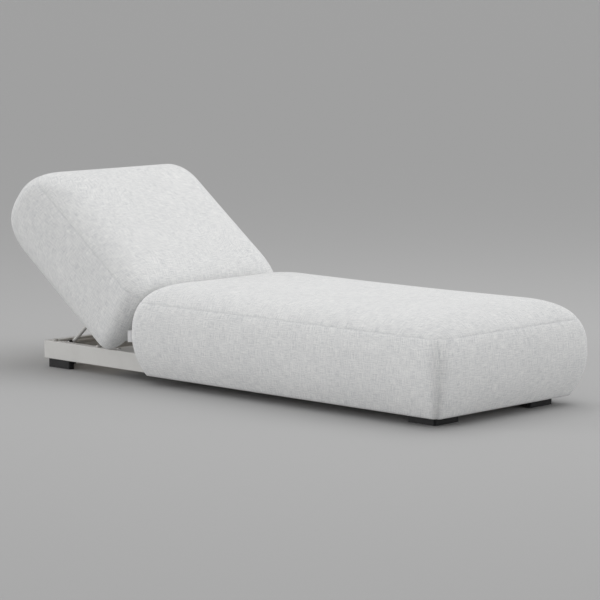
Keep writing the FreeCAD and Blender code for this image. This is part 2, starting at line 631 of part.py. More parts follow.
def prop_arm(label, side):
    """A round bar with a bored eye at the backrest and a coped end on the cross rod."""
    body = document.addObject("PartDesign::Body", label)
    section = sketch_on(body, "YZ_Plane", label + "_section")
    centred_circle(section, size["prop_diameter"] / 2, "prop_diameter / 2")
    bar = body.newObject("PartDesign::Pad", label + "_bar")
    bar.Profile = section
    bind(bar, Length="prop_length")
    document.recompute()
    eye = sketch_on(body, "XZ_Plane", label + "_eye")
    centred_circle(eye, size["eye_radius"], "eye_radius")
    pad(body, eye, label + "_boss", "eye_thickness")
    bore = sketch_on(body, "XZ_Plane", label + "_bore")
    centred_circle(bore, size["pin_diameter"] / 2 + size["fit_clearance"],
                   "pin_diameter / 2 + fit_clearance")
    pocket_through(body, bore, label + "_hole")
    cope = sketch_on(body, "XZ_Plane", label + "_cope")
    index = cope.addGeometry(Part.Circle(Vector(size["prop_length"], 0), Vector(0, 0, 1),
                                         size["prop_diameter"] / 2 + size["fit_clearance"]), False)
    cope.addConstraint(Sketcher.Constraint("PointOnObject", index, 3, -1))
    limit(cope, "Radius", (index,), size["prop_diameter"] / 2 + size["fit_clearance"],
          "prop_diameter / 2 + fit_clearance")
    limit(cope, "DistanceX", (-1, 1, index, 3), size["prop_length"], "prop_length")
    pocket_through(body, cope, label + "_saddle")
    turn = FreeCAD.Rotation(Vector(1, 0, 0), prop_reach)
    body.Placement = FreeCAD.Placement(prop_pivot + Vector(0, side * prop_y, 0), turn)
    keep(body, label)


def prop_ledge(side):
    """A sloping shelf on the inner face of a side rail that the prop's glide rests on."""
    slope = math.radians(size["ledge_slope"])
    back = (rod_centre.x - head_inner_x - size["ledge_head_gap"]) / math.cos(slope)
    shelf = block(-back, size["ledge_lead"], 0, size["ledge_width"], -size["ledge_thickness"], 0)
    shelf.rotate(Vector(), Vector(0, 1, 0), -size["ledge_slope"])
    down = Vector(math.sin(slope), 0, -math.cos(slope)) * (size["glide_diameter"] / 2 + gap)
    start = rail_inner_y - size["ledge_width"] if side > 0 else -rail_inner_y
    shelf.translate(rod_centre + down + Vector(0, start, 0))
    return shelf


rod_half = rail_inner_y - size["glide_inset"]
hub_inner_y = prop_y - size["eye_thickness"] / 2 - size["hub_gap"] - size["hub_thickness"]
eye_outer_y = prop_y + size["eye_thickness"] / 2
pins = []
glides = []
for side, name in ((1, "left"), (-1, "right")):
    solid(ratchet_hub(side), name + "_ratchet_hub", raised)
    prop_arm(name + "_prop_arm", side)
    solid(prop_ledge(side), name + "_prop_ledge")
    low_y, high_y = sorted((side * hub_inner_y, side * eye_outer_y))
    pins.append(headed_pin(low_y, high_y, prop_pivot, side))
    outer = side * rod_half
    inner = side * (rod_half - size["glide_length"])
    sleeve = Part.makeCylinder(size["glide_diameter"] / 2, size["glide_length"],
                               Vector(rod_centre.x, min(outer, inner), rod_centre.z), Vector(0, 1, 0))
    glides.append(sleeve.cut(cross_bore(rod_centre, size["prop_diameter"] + 2 * size["fit_clearance"])))
solid(Part.makeCompound(pins), "prop_pivot_pins")
solid(Part.makeCompound(glides), "prop_glides")

rod = document.addObject("Part::Cylinder", "prop_cross_rod")
bind(rod, Radius="prop_diameter / 2", Height="frame_width - 2 * rail_width - 2 * glide_inset")
rod.Placement = FreeCAD.Placement(rod_centre - Vector(0, rod_half, 0),
                                  FreeCAD.Rotation(Vector(0, 0, 1), Vector(0, 1, 0)))
keep(rod, "prop_cross_rod")


def rest_bumpers():
    """Rubber discs on the side rails that the backrest tubes come down on."""
    discs = []
    tall = tube_bottom - rail_top - gap
    for count in range(2):
        for side in (1, -1):
            place = Vector(size["bumper_from_head"] - half_length + count * size["bumper_pitch"],
                           side * (half_frame - size["rail_width"] / 2), rail_top)
            discs.append(Part.makeCylinder(size["bumper_diameter"] / 2, tall, place))
    return Part.makeCompound(discs)


solid(rest_bumpers(), "rest_bumpers")

document.recompute()
for item in document.Objects:
    if "Invalid" in item.State or "Error" in item.State:
        raise RuntimeError("%s is not built: %s" % (item.Name, item.State))
os.makedirs("parts", exist_ok=True)
for item in nodes:
    if item.Shape.isNull() or not item.Shape.isValid() or not item.Shape.Solids:
        raise RuntimeError("%s has no valid solid" % item.Label)
    item.Shape.exportStep("parts/%s.step" % item.Label)
print("%d nodes written" % len(nodes))
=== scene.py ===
"""Upholstered chaise longue, dressed: two sewn pods over a painted rail frame with a folding prop."""
import json
import logging
import math
from dataclasses import dataclass
from enum import Enum
from itertools import product

import bmesh
import bpy
from mathutils import Matrix, Vector
from mathutils.kdtree import KDTree

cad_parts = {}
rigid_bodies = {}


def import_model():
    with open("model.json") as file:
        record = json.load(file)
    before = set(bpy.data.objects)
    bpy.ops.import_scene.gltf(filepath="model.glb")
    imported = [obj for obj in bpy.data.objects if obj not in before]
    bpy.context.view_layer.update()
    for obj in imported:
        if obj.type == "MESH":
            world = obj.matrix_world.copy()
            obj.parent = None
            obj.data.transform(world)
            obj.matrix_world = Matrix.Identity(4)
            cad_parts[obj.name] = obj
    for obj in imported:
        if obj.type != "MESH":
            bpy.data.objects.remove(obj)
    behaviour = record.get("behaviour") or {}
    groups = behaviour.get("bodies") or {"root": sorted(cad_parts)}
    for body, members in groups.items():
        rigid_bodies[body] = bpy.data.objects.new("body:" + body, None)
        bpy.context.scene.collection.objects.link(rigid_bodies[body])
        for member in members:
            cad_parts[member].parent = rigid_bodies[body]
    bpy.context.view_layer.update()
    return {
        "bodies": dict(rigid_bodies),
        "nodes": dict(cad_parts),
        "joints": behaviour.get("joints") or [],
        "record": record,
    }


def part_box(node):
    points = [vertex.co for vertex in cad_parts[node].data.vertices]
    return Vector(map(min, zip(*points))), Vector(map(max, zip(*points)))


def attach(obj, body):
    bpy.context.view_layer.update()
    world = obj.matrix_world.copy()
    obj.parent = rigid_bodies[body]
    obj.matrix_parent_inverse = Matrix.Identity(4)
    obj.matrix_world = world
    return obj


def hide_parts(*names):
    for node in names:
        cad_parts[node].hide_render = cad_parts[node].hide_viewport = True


LOG = logging.getLogger("chaise")
Triple = tuple[float, float, float]
Colour = Triple
Grain = tuple[Triple, float, float]
Socket = bpy.types.NodeSocket
Material = bpy.types.Material
Piece = bpy.types.Object
Shape = bmesh.types.BMesh
Edge = bmesh.types.BMEdge
Vert = bmesh.types.BMVert
Face = bmesh.types.BMFace

# Vertex attribute that carries painted shade along the middle of each seam groove.
SEAM_PAINTED_SHADE = "seam_painted_shade"
TURNED_IN = "turned_in"
CLOTH_MAP = "cloth"
CREASE = "crease_edge"
HELD = "held"
UP = Vector((0, 0, 1))
SIDES = (1, -1)

# Lengths in metres.
TINY = 1e-6
HAIR = 1e-5
NEAR = 1e-4
MERGE = 2e-4
MOUTH_DEPTH = 0.02
HEM_DEPTH = 0.012

# Shares of a length or of a face's normal.
ALONG = 0.9
TURNING = 0.85
LOOKS_OUT = 0.3
WIDEST = 0.3
FOLD = 0.49

SLAT_FIRST = -0.2997
SLAT_PITCH = 0.198
FILL_FRAMES = 20
FILLING = {"quality": 6, "mass": 0.4, "tension_stiffness": 22.0, "compression_stiffness": 22.0,
           "shear_stiffness": 8.0, "bending_stiffness": 2.0, "use_pressure": True,
           "uniform_pressure_force": 4.0, "vertex_group_mass": HELD}


class End(Enum):
    """Which end of a pod faces the other pod."""

    HEAD = -1
    FOOT = 1


class ShaderSheet:
    """A material's node tree, with short ways to add and join nodes."""

    def __init__(self, name: str) -> None:
        """Start a material with a principled shader.

        Args:
            name: the material's name.
        """
        self.material = bpy.data.materials.new(name)
        self.material.use_nodes = True
        self.nodes = self.material.node_tree.nodes
        self.links = self.material.node_tree.links
        self.shader = self.nodes["Principled BSDF"]

    def add(self, kind: str, **values: object) -> bpy.types.Node:
        """Add a node and set its properties.

        Args:
            kind: the node's type without its ShaderNode prefix.
            values: properties of the node.

        Returns:
            The new node.
        """
        node = self.nodes.new("ShaderNode" + kind)
        for key, value in values.items():
            setattr(node, key, value)
        return node

    def join(self, source: Socket, target: Socket) -> None:
        """Link two sockets."""
        self.links.new(source, target)

    def set(self, **values: object) -> None:
        """Set sockets of the shader, named with underscores for spaces."""
        for key, value in values.items():
            self.shader.inputs[key.replace("_", " ")].default_value = value

    def noise(self, repeats: Triple, detail: float = 3.0, rough: float = 0.55,
              output: str = "Object") -> Socket:
        """A noise value from 0 to 1 on the piece.

        Args:
            repeats: noise scale along each axis, in a metre.
            detail: octaves.
            rough: weight of the finer octaves.
            output: coordinates, Object or UV for cloth.

        Returns:
            The factor socket.
        """
        mapping = self.add("Mapping")
        mapping.inputs["Scale"].default_value = repeats
        self.join(self.add("TexCoord").outputs[output], mapping.inputs["Vector"])
        texture = self.add("TexNoise")
        for key, value in (("Scale", 1.0), ("Detail", detail), ("Roughness", rough)):
            texture.inputs[key].default_value = value
        self.join(mapping.outputs["Vector"], texture.inputs["Vector"])
        return texture.outputs["Fac"]

    def ramp(self, factor: Socket, low: Colour, high: Colour, start: float, stop: float,
             target: str = "Base Color") -> None:
        """Drive a socket of the shader with a two-colour ramp.

        Args:
            factor: the value that picks the colour.
            low: first colour.
            high: last colour.
            start: place of the first.
            stop: place of the last.
            target: the shader's socket.
        """
        node = self.add("ValToRGB")
        for element, place, colour in zip(node.color_ramp.elements, (start, stop), (low, high)):
            element.position = place
            element.color = (*colour, 1.0)
        self.join(factor, node.inputs["Fac"])
        self.join(node.outputs["Color"], self.shader.inputs[target])

    def math(self, way: str, one: object, two: object = 0.0) -> Socket:
        """The result of an operation on two values.

        Args:
            way: the operation.
            one: a socket or number.
            two: a socket or number.

        Returns:
            The result socket.
        """
        node = self.add("Math", operation=way)
        for count, value in enumerate((one, two)):
            if isinstance(value, (int, float)):
                node.inputs[count].default_value = value
            else:
                self.join(value, node.inputs[count])
        return node.outputs[0]

    def weigh(self, one: Socket, two: Socket, share: float) -> Socket:
        """A sum of two values, of which the first one has the share."""
        return self.math("ADD", self.math("MULTIPLY", one, share), self.math("MULTIPLY", two, 1 - share))

    def bump(self, height: Socket, distance: float, strength: float) -> None:
        """Raise the surface by a height value.

        Args:
            height: height from 0 to 1.
            distance: full height in metres.
            strength: share of it that shows.
        """
        node = self.add("Bump")
        node.inputs["Distance"].default_value = distance
        node.inputs["Strength"].default_value = strength
        self.join(height, node.inputs["Height"])
        self.join(node.outputs["Normal"], self.shader.inputs["Normal"])


@dataclass(frozen=True)
class WovenCloth:
    """Heathered outdoor upholstery in a plain weave of pale and grey yarns, with painted shade darkening the
    seam grooves.
    """

    name: str = "upholstery_weave"
    pale: Colour = (0.80, 0.80, 0.79)
    grey: Colour = (0.50, 0.51, 0.525)
    tones: tuple[float, float] = (0.355, 0.585)
    yarns_per_metre: float = 520.0
    slub: tuple[float, float] = (430.0, 30.0)
    fleck: float = 260.0
    cloud: float = 7.0
    cloud_depth: float = 0.06
    yarn_share: float = 0.70
    weave_share: float = 0.45
    relief: float = 0.0007
    # How far the painted shade darkens the weave along the seam grooves.
    seam_shade_paint: float = 0.045

    def material(self) -> Material:
        """Build the weave.

        Returns:
            The material.
        """
        sheet = ShaderSheet(self.name)
        split = sheet.add("SeparateXYZ")
        sheet.join(sheet.add("TexCoord").outputs["UV"], split.inputs[0])
        turn = self.yarns_per_metre * math.pi
        waves = [sheet.math("SINE", sheet.math("MULTIPLY", split.outputs[axis], turn)) for axis in "XY"]
        crossing = sheet.math("MULTIPLY_ADD", sheet.math("MULTIPLY", *waves), 0.5)
        crossing.node.inputs[2].default_value = 0.5
        pick = sheet.add("Mix", data_type="FLOAT")
        sheet.join(crossing, pick.inputs[0])
        fine, coarse = self.slub
        for count, scale in ((2, (fine, coarse, 1.0)), (3, (coarse, fine, 1.0))):
            sheet.join(sheet.noise(scale, 2.0, output="UV"), pick.inputs[count])
        fleck = sheet.noise((self.fleck, self.fleck, 1.0), 4.0, 0.7, "UV")
        heather = sheet.weigh(pick.outputs[0], fleck, self.yarn_share)
        cloud = sheet.noise((self.cloud, self.cloud, 1.0), output="UV")
        shift = sheet.math("MULTIPLY", sheet.math("SUBTRACT", cloud, 0.5), self.cloud_depth)
        # Painted shade: the tone is darkened along the seam grooves to stand in for the shadow in the
        # crevice.
        seam = sheet.add("Attribute", attribute_name=SEAM_PAINTED_SHADE)
        sewn = sheet.math("MULTIPLY", seam.outputs["Fac"], self.seam_shade_paint)
        tone = sheet.math("SUBTRACT", sheet.math("ADD", heather, shift), sewn)
        sheet.ramp(tone, self.grey, self.pale, *self.tones)
        sheet.bump(sheet.weigh(crossing, heather, self.weave_share), self.relief, 0.75)
        sheet.set(Roughness=0.92, Sheen_Weight=0.12, Sheen_Roughness=0.5, Specular_IOR_Level=0.18)
        return sheet.material


@dataclass(frozen=True)
class PowderCoat:
    """Off-white powder coat on the aluminium frame, with a fine orange peel."""

    name: str = "frame_powder_coat"
    colour: Colour = (0.58, 0.575, 0.557)
    worn: Colour = (0.55, 0.545, 0.527)
    haze: float = 9.0
    peel: float = 900.0
    wear: float = 22.0

    def material(self) -> Material:
        """Build the coat.

        Returns:
            The material.
        """
        sheet = ShaderSheet(self.name)
        sheet.ramp(sheet.noise((self.haze,) * 3, 5.0, 0.6), self.worn, self.colour, 0.30, 0.52)
        sheet.bump(sheet.noise((self.peel,) * 3, 2.0), 0.0002, 0.35)
        sheet.ramp(sheet.noise((self.wear,) * 3, 4.0), (0.38,) * 3, (0.52,) * 3, 0.0, 1.0, "Roughness")
        sheet.set(Specular_IOR_Level=0.4)
        return sheet.material


@dataclass(frozen=True)
class SawnWood:
    """Wood with its grain along one axis."""

    name: str
    pale: Colour
    dark: Colour
    grain: Triple
    pore: float = 7.0
    ring_share: float = 0.75

    def material(self) -> Material:
        """Build the wood.

        Returns:
            The material.
        """
        sheet = ShaderSheet(self.name)
        pores = sheet.noise(tuple(self.pore * part for part in self.grain), 2.0)
        tone = sheet.weigh(sheet.noise(self.grain, 6.0, 0.62), pores, self.ring_share)
        sheet.ramp(tone, self.dark, self.pale, 0.36, 0.62)
        sheet.bump(tone, 0.0004, 0.4)
        sheet.set(Roughness=0.66)
        return sheet.material


@dataclass(frozen=True)
class GrainedFinish:
    """Plastic, drawn steel, lining or ribbon: a mottled colour over a fine relief."""

    name: str
    low: Colour
    high: Colour
    rough: float
    tones: tuple[float, float]
    mottle: Grain
    relief: tuple[float, float]
    grain: Grain | None = None
    metallic: float = 0.0
    sheen: float = 0.0
    specular: float = 0.5

    def material(self) -> Material:
        """Build the finish.

        Returns:
            The material.
        """
        sheet = ShaderSheet(self.name)
        mottle = sheet.noise(*self.mottle)
        sheet.ramp(mottle, self.low, self.high, *self.tones)
        sheet.bump(sheet.noise(*self.grain) if self.grain else mottle, *self.relief)
        sheet.set(Metallic=self.metallic, Roughness=self.rough, Sheen_Weight=self.sheen,
                  Specular_IOR_Level=self.specular)
        return sheet.material


@dataclass(frozen=True)
class StudioFloor:
    """Matt pale grey floor."""

    name: str = "floor_matt"
    colour: Colour = (0.45, 0.45, 0.45)

    def material(self) -> Material:
        """Build the floor's finish.

        Returns:
            The material.
        """
        sheet = ShaderSheet(self.name)
        sheet.set(Base_Color=(*self.colour, 1.0), Roughness=0.9, Specular_IOR_Level=0.1)
        return sheet.material


@dataclass
class PodForm:
    """The cut of a pod, in metres: its bottom edge, its swell and its seams."""

    x_low: float
    x_high: float
    bottom: float
    low_bulge: float
    high_bulge: float
    half: float = 0.353
    bulge: float = 0.048
    bulge_rise: float = 0.160
    height: float = 0.327
    top_inset: float = 0.088
    crown_rise: float = 0.004
    crown_inset: float = 0.095
    foot_round: float = 0.024
    full_round: float = 0.060
    top_round_share: float = 1.5
    seam_rise: float = 0.261
    hem_drop: float = 0.0
    swell_power: float = 2.0
    corner_share: tuple[float, float] = (1.0, 1.0)
    shoulder_cloth: float = 0.130
    shoulder_power: float = 0.88

    def shoulder_angle(self, rise: float) -> float:
        """Angle of the shoulder's rounding at a rise above the bottom edge."""
        share = min(1.0, (rise - self.bulge_rise) / (self.height - self.bulge_rise))
        return math.asin(share ** (1 / self.shoulder_power))

    def shoulder_drawn(self, angle: float) -> float:
        """Share of the draw-in at an angle of the shoulder's rounding."""
        return 1 - max(0.0, math.cos(angle)) ** self.shoulder_power

    def cloth_half(self) -> float:
        """Half the width of the top panel's cloth, laid flat."""
        return self.half - self.top_inset + self.shoulder_cloth

    def cloth_ends(self) -> tuple[float, float]:
        """Low and high end of the top panel's cloth, laid flat."""
        spare = self.shoulder_cloth - self.top_inset
        return self.x_low - spare, self.x_high + spare

    def level(self, rise: float) -> tuple[Triple, float]:
        """Plan and corner radius of the side panels.

        Args:
            rise: height above the bottom edge.

        Returns:
            The plan's low end, high end and half width, and the corner radius.
        """
        if rise <= self.bulge_rise:
            share = rise / self.bulge_rise
            swell = 1 - (1 - share) ** self.swell_power
            return self.outline(swell, 0.0), self.foot_round + share * (self.full_round - self.foot_round)
        return self.shoulder(self.shoulder_drawn(self.shoulder_angle(rise)))

    def shoulder(self, drawn: float) -> tuple[Triple, float]:
        """Plan and corner radius of the shoulder at a share of the draw-in."""
        return self.outline(1.0, drawn), self.full_round * (1 + drawn * (self.top_round_share - 1))

    def outline(self, swell: float, drawn: float) -> Triple:
        """Low end, high end and half width of the plan at a level.

        Args:
            swell: share of the bulge.
            drawn: share of the draw-in towards the top.

        Returns:
            The three sizes in metres.
        """
        low = self.x_low - self.low_bulge * swell + drawn * (self.low_bulge + self.top_inset)
        high = self.x_high + self.high_bulge * swell - drawn * (self.high_bulge + self.top_inset)
        half = self.half + self.bulge * swell - drawn * (self.bulge + self.top_inset)
        return low, high, half

    def top_level(self, inset: float) -> tuple[Triple, float, float]:
        """Plan, corner radius and rise on the top panel.

        Args:
            inset: cloth distance in from the seam.

        Returns:
            The plan's low end, high end and half width, the corner radius and the rise.
        """
        start = self.shoulder_angle(self.seam_rise)
        if inset < self.shoulder_cloth:
            angle = start + (math.pi / 2 - start) * inset / self.shoulder_cloth
            rise = self.bulge_rise + (self.height - self.bulge_rise) * math.sin(angle) ** self.shoulder_power
            return *self.shoulder(self.shoulder_drawn(angle)), rise
        beyond = inset - self.shoulder_cloth
        share = min(1.0, beyond / self.crown_inset)
        rise = self.height + self.crown_rise * math.sin(math.pi / 2 * share)
        plan = (self.x_low + self.top_inset + beyond, self.x_high - self.top_inset - beyond,
                self.half - self.top_inset - beyond)
        return plan, self.full_round * self.top_round_share, rise


@dataclass
class Mouth:
    """Where a pod's cover stops at its joint end and underneath, lying flat, in metres."""

    end: End
    lip: float
    half: float
    wall_x: float
    inner_low: float
    inner_high: float
    inner_half: float
    lift: float
    slit_y: float = 0.0
    slit_half: float = 0.0
    slit_top: float = 0.0


@dataclass
class Pod:
    """A sewn cushion pod: four side panels, a top panel, seams and a turned-in hem."""

    name: str
    body: str
    nodes: tuple[str, ...]
    form: PodForm
    mouth: Mouth
    cell: float = 0.0145
    seam_slack: float = 0.0010
    side_slack: float = 0.0005
    top_slack: float = 0.013
    swell_cap: float = 0.024
    smooth_passes: int = 16
    smooth_keep: float = 0.4
    seam_half: float = 0.0036
    seam_core: float = 0.4
    seam_depth: float = 0.0026
    hem_crease: float = 0.75
    plain_corners: bool = False
    hinge: tuple[float, float] = (0.0, 0.0)
    tilt: float = 0.0

    def panel_box(self) -> Shape:
        """Cut the panels: an open box of the cloth's own size in even cells.

        Returns:
            The box, with its seams marked and its cloth coordinates kept.
        """
        low, high = self.form.cloth_ends()
        size = (high - low, 2 * self.form.cloth_half(), self.form.seam_rise)
        panels = bmesh.new()
        panels.verts.layers.float.new(SEAM_PAINTED_SHADE)
        panels.faces.layers.int.new(TURNED_IN)
        panels.loops.layers.uv.new(CLOTH_MAP)
        bmesh.ops.create_cube(panels, size=1.0)
        bmesh.ops.scale(panels, vec=size, verts=panels.verts)
        bmesh.ops.translate(panels, vec=((low + high) / 2, 0, size[2] / 2), verts=panels.verts)
        under = [face for face in panels.faces if face.normal.z < -0.5]
        bmesh.ops.delete(panels, geom=under, context="FACES_ONLY")
        for edge in panels.edges:
            edge.seam = not edge.is_boundary
        for axis in range(3):
            along = [edge for edge in panels.edges if self.runs_along(edge, axis)]
            bmesh.ops.subdivide_edges(panels, edges=along, cuts=max(1, round(size[axis] / self.cell) - 1))
        self.lay_cloth(panels, list(panels.faces))
        return panels

    @staticmethod
    def runs_along(edge: Edge, axis: int) -> bool:
        """Whether an edge of the box lies along an axis."""
        run = edge.verts[1].co - edge.verts[0].co
        return abs(run[axis]) > ALONG * run.length

    @staticmethod
    def lay_cloth(panels: Shape, faces: list[Face]) -> None:
        """Keep each face's flat cloth place, in metres, as its UV map.

        Args:
            panels: the box or the pod.
            faces: those to lay flat.
        """
        layer = panels.loops.layers.uv[CLOTH_MAP]
        for face in faces:
            across, over = round(face.normal.x), round(face.normal.y)
            for loop in face.loops:
                place = loop.vert.co
                if abs(face.normal.z) > 0.5:
                    loop[layer].uv = (place.x, place.y)
                elif abs(face.normal.y) > 0.5:
                    loop[layer].uv = (place.x, place.z + over)
                else:
                    loop[layer].uv = (place.y + across, place.z)

    def on_outline(self, plan: Triple, radius: float, side: int, share: float) -> tuple[float, float]:
        """A point on a rounded rectangle.

        Args:
            plan: low end, high end and half width.
            radius: corner radius.
            side: 0 right, 1 left, 2 low end, 3 high end.
            share: place along that side, from 0 to 1.

        Returns:
            X and Y.
        """
        low, high, half = plan
        length = (high - low) if side < 2 else 2 * half
        at_high = share > 0.5 if side < 2 else side == 3
        radius *= self.form.corner_share[at_high]
        radius = max(NEAR, min(radius, WIDEST * 2 * half, WIDEST * (high - low)))
        run = share * length
        near = min(run, length - run)
        reach = radius * math.pi / 4
        if near < reach:
            angle = math.pi / 4 * (1 - near / reach)
            along = radius - radius * math.sin(angle)
            depth = radius - radius * math.cos(angle)
        else:
            stretch = (length / 2 - radius) / max(TINY, length / 2 - reach)
            along, depth = radius + (near - reach) * stretch, 0.0
        if run > length / 2:
            along = length - along
        if side < 2:
            return low + along, (half - depth) * (1 if side else -1)
        return (low + depth if side == 2 else high - depth), along - half

    def start_depth(self, inset: float) -> float:
        """How far inside its form the top panel starts, at a cloth distance in from the seam."""
        share = min(1.0, inset / (self.form.shoulder_cloth + self.form.crown_inset))
        return self.side_slack + self.top_slack * share * share * (3 - 2 * share)

    def shape(self, panels: Shape, slack: bool) -> list[Vector]:
        """Stretch the box over the pod's form.

        Args:
            panels: the box.
            slack: whether the panels start inside the form, with room to be filled.

        Returns:
            Each vertex's place on the form itself.
        """
        form = self.form
        low, high = form.cloth_ends()
        half = form.cloth_half()
        top = form.seam_rise
        depths = {}
        for vert in panels.verts:
            x, y, z = vert.co
            gaps = (y + half, half - y, x - low, high - x)
            side = min(range(4), key=lambda count: gaps[count])
            on_top = z > top - TINY
            inset = gaps[side] if on_top else 0.0
            length = (high - low if side < 2 else 2 * half) - 2 * inset
            start = (low if side < 2 else -half) + inset
            share = ((x if side < 2 else y) - start) / length if length > TINY else 0.5
            if on_top:
                plan, radius, rise = form.top_level(inset)
            else:
                rise = z - form.hem_drop * (1 - z / top)
                plan, radius = form.level(rise)
            flat = self.on_outline(plan, radius, side, min(1.0, max(0.0, share)))
            vert.co = (*flat, form.bottom + rise)
            depths[vert] = self.seam_slack if self.sewn(vert) else self.start_depth(inset)
        panels.normal_update()
        places = [vert.co.copy() for vert in self.indexed(panels)]
        if slack:
            for vert, depth in depths.items():
                if not vert.is_boundary:
                    vert.co -= vert.normal * depth
        return places

    def swell(self, piece: Piece) -> None:
        """Fill the panels by cloth simulation, held at the seams and the hem, with the foam behind them.

        Args:
            piece: the open pod.
        """
        scene = bpy.context.scene
        start = [vert.co.copy() for vert in piece.data.vertices]
        outward = [vert.normal.copy() for vert in piece.data.vertices]
        cloth = piece.modifiers.new("filling", "CLOTH")
        for key, value in FILLING.items():
            setattr(cloth.settings, key, value)
        cloth.settings.effector_weights.gravity = 0.0
        cloth.point_cache.frame_start = 1
        cloth.point_cache.frame_end = FILL_FRAMES
        for frame in range(1, FILL_FRAMES + 1):
            scene.frame_set(frame)
        filled = piece.evaluated_get(bpy.context.evaluated_depsgraph_get())
        places = [vert.co.copy() for vert in filled.data.vertices]
        piece.modifiers.remove(cloth)
        scene.frame_set(1)
        moves = []
        for vert, old, new, out in zip(piece.data.vertices, start, places, outward):
            move = new - old
            moves.append(move.length)
            move -= out * min(0.0, move.dot(out))
            if move.length > TINY:
                move *= self.swell_cap * math.tanh(move.length / self.swell_cap) / move.length
            vert.co = old + move
        LOG.info("%s filled, moved %.1f mm on average, %.1f mm at most", self.name,
                 1000 * sum(moves) / len(moves), 1000 * max(moves))

    def fill(self) -> Shape:
        """Shape and fill the panels.

        Returns:
            The filled pod, still open below.
        """
        panels = self.panel_box()
        form = self.shape(panels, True)
        held = [vert.index for vert in self.indexed(panels) if vert.is_boundary or self.sewn(vert)]
        mesh = bpy.data.meshes.new(self.name + "_panels")
        panels.to_mesh(mesh)
        panels.free()
        piece = linked(bpy.data.objects.new(self.name + "_panels", mesh))
        piece.vertex_groups.new(name=HELD).add(held, 1.0, "REPLACE")
        self.swell(piece)
        filled = bmesh.new()
        filled.from_mesh(mesh)
        bpy.data.objects.remove(piece)
        bpy.data.meshes.remove(mesh)
        self.smooth_out(filled, form)
        return filled

    def smooth_out(self, panels: Shape, form: list[Vector]) -> None:
        """Work small folds out of the filling, and keep the pod's own rounding.

        Args:
            panels: the filled pod.
            form: each vertex's place on the pod's form.
        """
        verts = self.indexed(panels)
        moves = [vert.co - place for vert, place in zip(verts, form)]
        near = [[edge.other_vert(vert).index for edge in vert.link_edges] for vert in verts]
        held = [vert.is_boundary or self.sewn(vert) for vert in verts]
        keep, give = self.smooth_keep, 1 - self.smooth_keep
        for _ in range(self.smooth_passes):
            moves = [move if fixed else move * keep + sum((moves[other] for other in others), Vector()) * give
                     / len(others) for move, fixed, others in zip(moves, held, near)]
        for vert, place, move in zip(verts, form, moves):
            vert.co = place + move

    @staticmethod
    def indexed(panels: Shape) -> bmesh.types.BMVertSeq:
        """The vertices, with their numbers in order."""
        panels.verts.index_update()
        return panels.verts

    @staticmethod
    def sewn(vert: Vert) -> bool:
        """Whether a vertex lies on a seam."""
        return any(edge.seam for edge in vert.link_edges)

    def joint_x(self) -> float:
        """Where the hem of the joint end lies."""
        return self.form.x_high if self.mouth.end is End.FOOT else self.form.x_low

    def cut_in_one(self, edge: Edge) -> bool:
        """Whether an edge lies at the joint end, where the panels are cut in one.

        Args:
            edge: an edge of the filled pod.

        Returns:
            True where the cloth runs round the corner.
        """
        run = edge.verts[1].co - edge.verts[0].co
        middle = (self.form.x_low + self.form.x_high) / 2
        at_joint = self.mouth.end.value * (edge.verts[0].co.x - middle) > 0
        return self.plain_corners and at_joint and abs(run.x) < TURNING * run.length

    def sew(self, panels: Shape) -> None:
        """Sink a groove along every seam, and mark the groove's middle for painted shade in the cloth's
        colour.

        Args:
            panels: the filled pod.
        """
        seams = [edge for edge in panels.edges if edge.seam and not self.cut_in_one(edge)]
        line = sorted({vert for edge in seams for vert in edge.verts}, key=lambda vert: vert.index)
        tree = KDTree(len(line))
        for count, vert in enumerate(line):
            tree.insert(vert.co, count)
        tree.balance()
        made = bmesh.ops.bevel(panels, geom=seams, offset=self.seam_half, offset_type="OFFSET", segments=2,
                               affect="EDGES", profile=0.5, material=-1, clamp_overlap=True)
        panels.normal_update()
        shade = panels.verts.layers.float[SEAM_PAINTED_SHADE]
        for vert in made["verts"]:
            if tree.find(vert.co)[2] < self.seam_core * self.seam_half:
                vert.co -= vert.normal * self.seam_depth
                # Painted shade: the weave darkens along the groove's middle to stand in for its shadow.
                vert[shade] = 1.0

    def at_mouth(self, face: Face) -> bool:
        """Whether a face lies on the joint end and looks at the other pod."""
        sign, x = self.mouth.end.value, face.calc_center_median().x
        return sign * (x - self.joint_x()) > -MOUTH_DEPTH and sign * face.normal.x > LOOKS_OUT

    def open_mouth(self, panels: Shape) -> None:
        """Cut the cover away at the joint end, with slits for the hinge arms.

        Args:
            panels: the sewn pod.
        """
        mouth = self.mouth
        rooms = [(0.0, mouth.half, mouth.lip)]
        if mouth.slit_half:
            rooms += [(side * mouth.slit_y, mouth.slit_half, mouth.slit_top) for side in SIDES]
        cuts = {}
        for y, half, top in rooms:
            cuts[(0, 0, top)] = (0, 0, 1)
            cuts.update({(0, y + half, 0): (0, 1, 0), (0, y - half, 0): (0, 1, 0)})
        for place, normal in cuts.items():
            end = [face for face in panels.faces if self.at_mouth(face)]
            parts = dict.fromkeys(end)
            parts.update(dict.fromkeys(part for face in end for part in (*face.edges, *face.verts)))
            bmesh.ops.bisect_plane(panels, geom=list(parts), dist=HAIR, plane_co=place, plane_no=normal)
        gone = []
        for face in panels.faces:
            middle = face.calc_center_median()
            inside = any(abs(middle.y - y) < half and middle.z < top for y, half, top in rooms)
            if inside and self.at_mouth(face):
                gone.append(face)
        bmesh.ops.delete(panels, geom=gone, context="FACES")

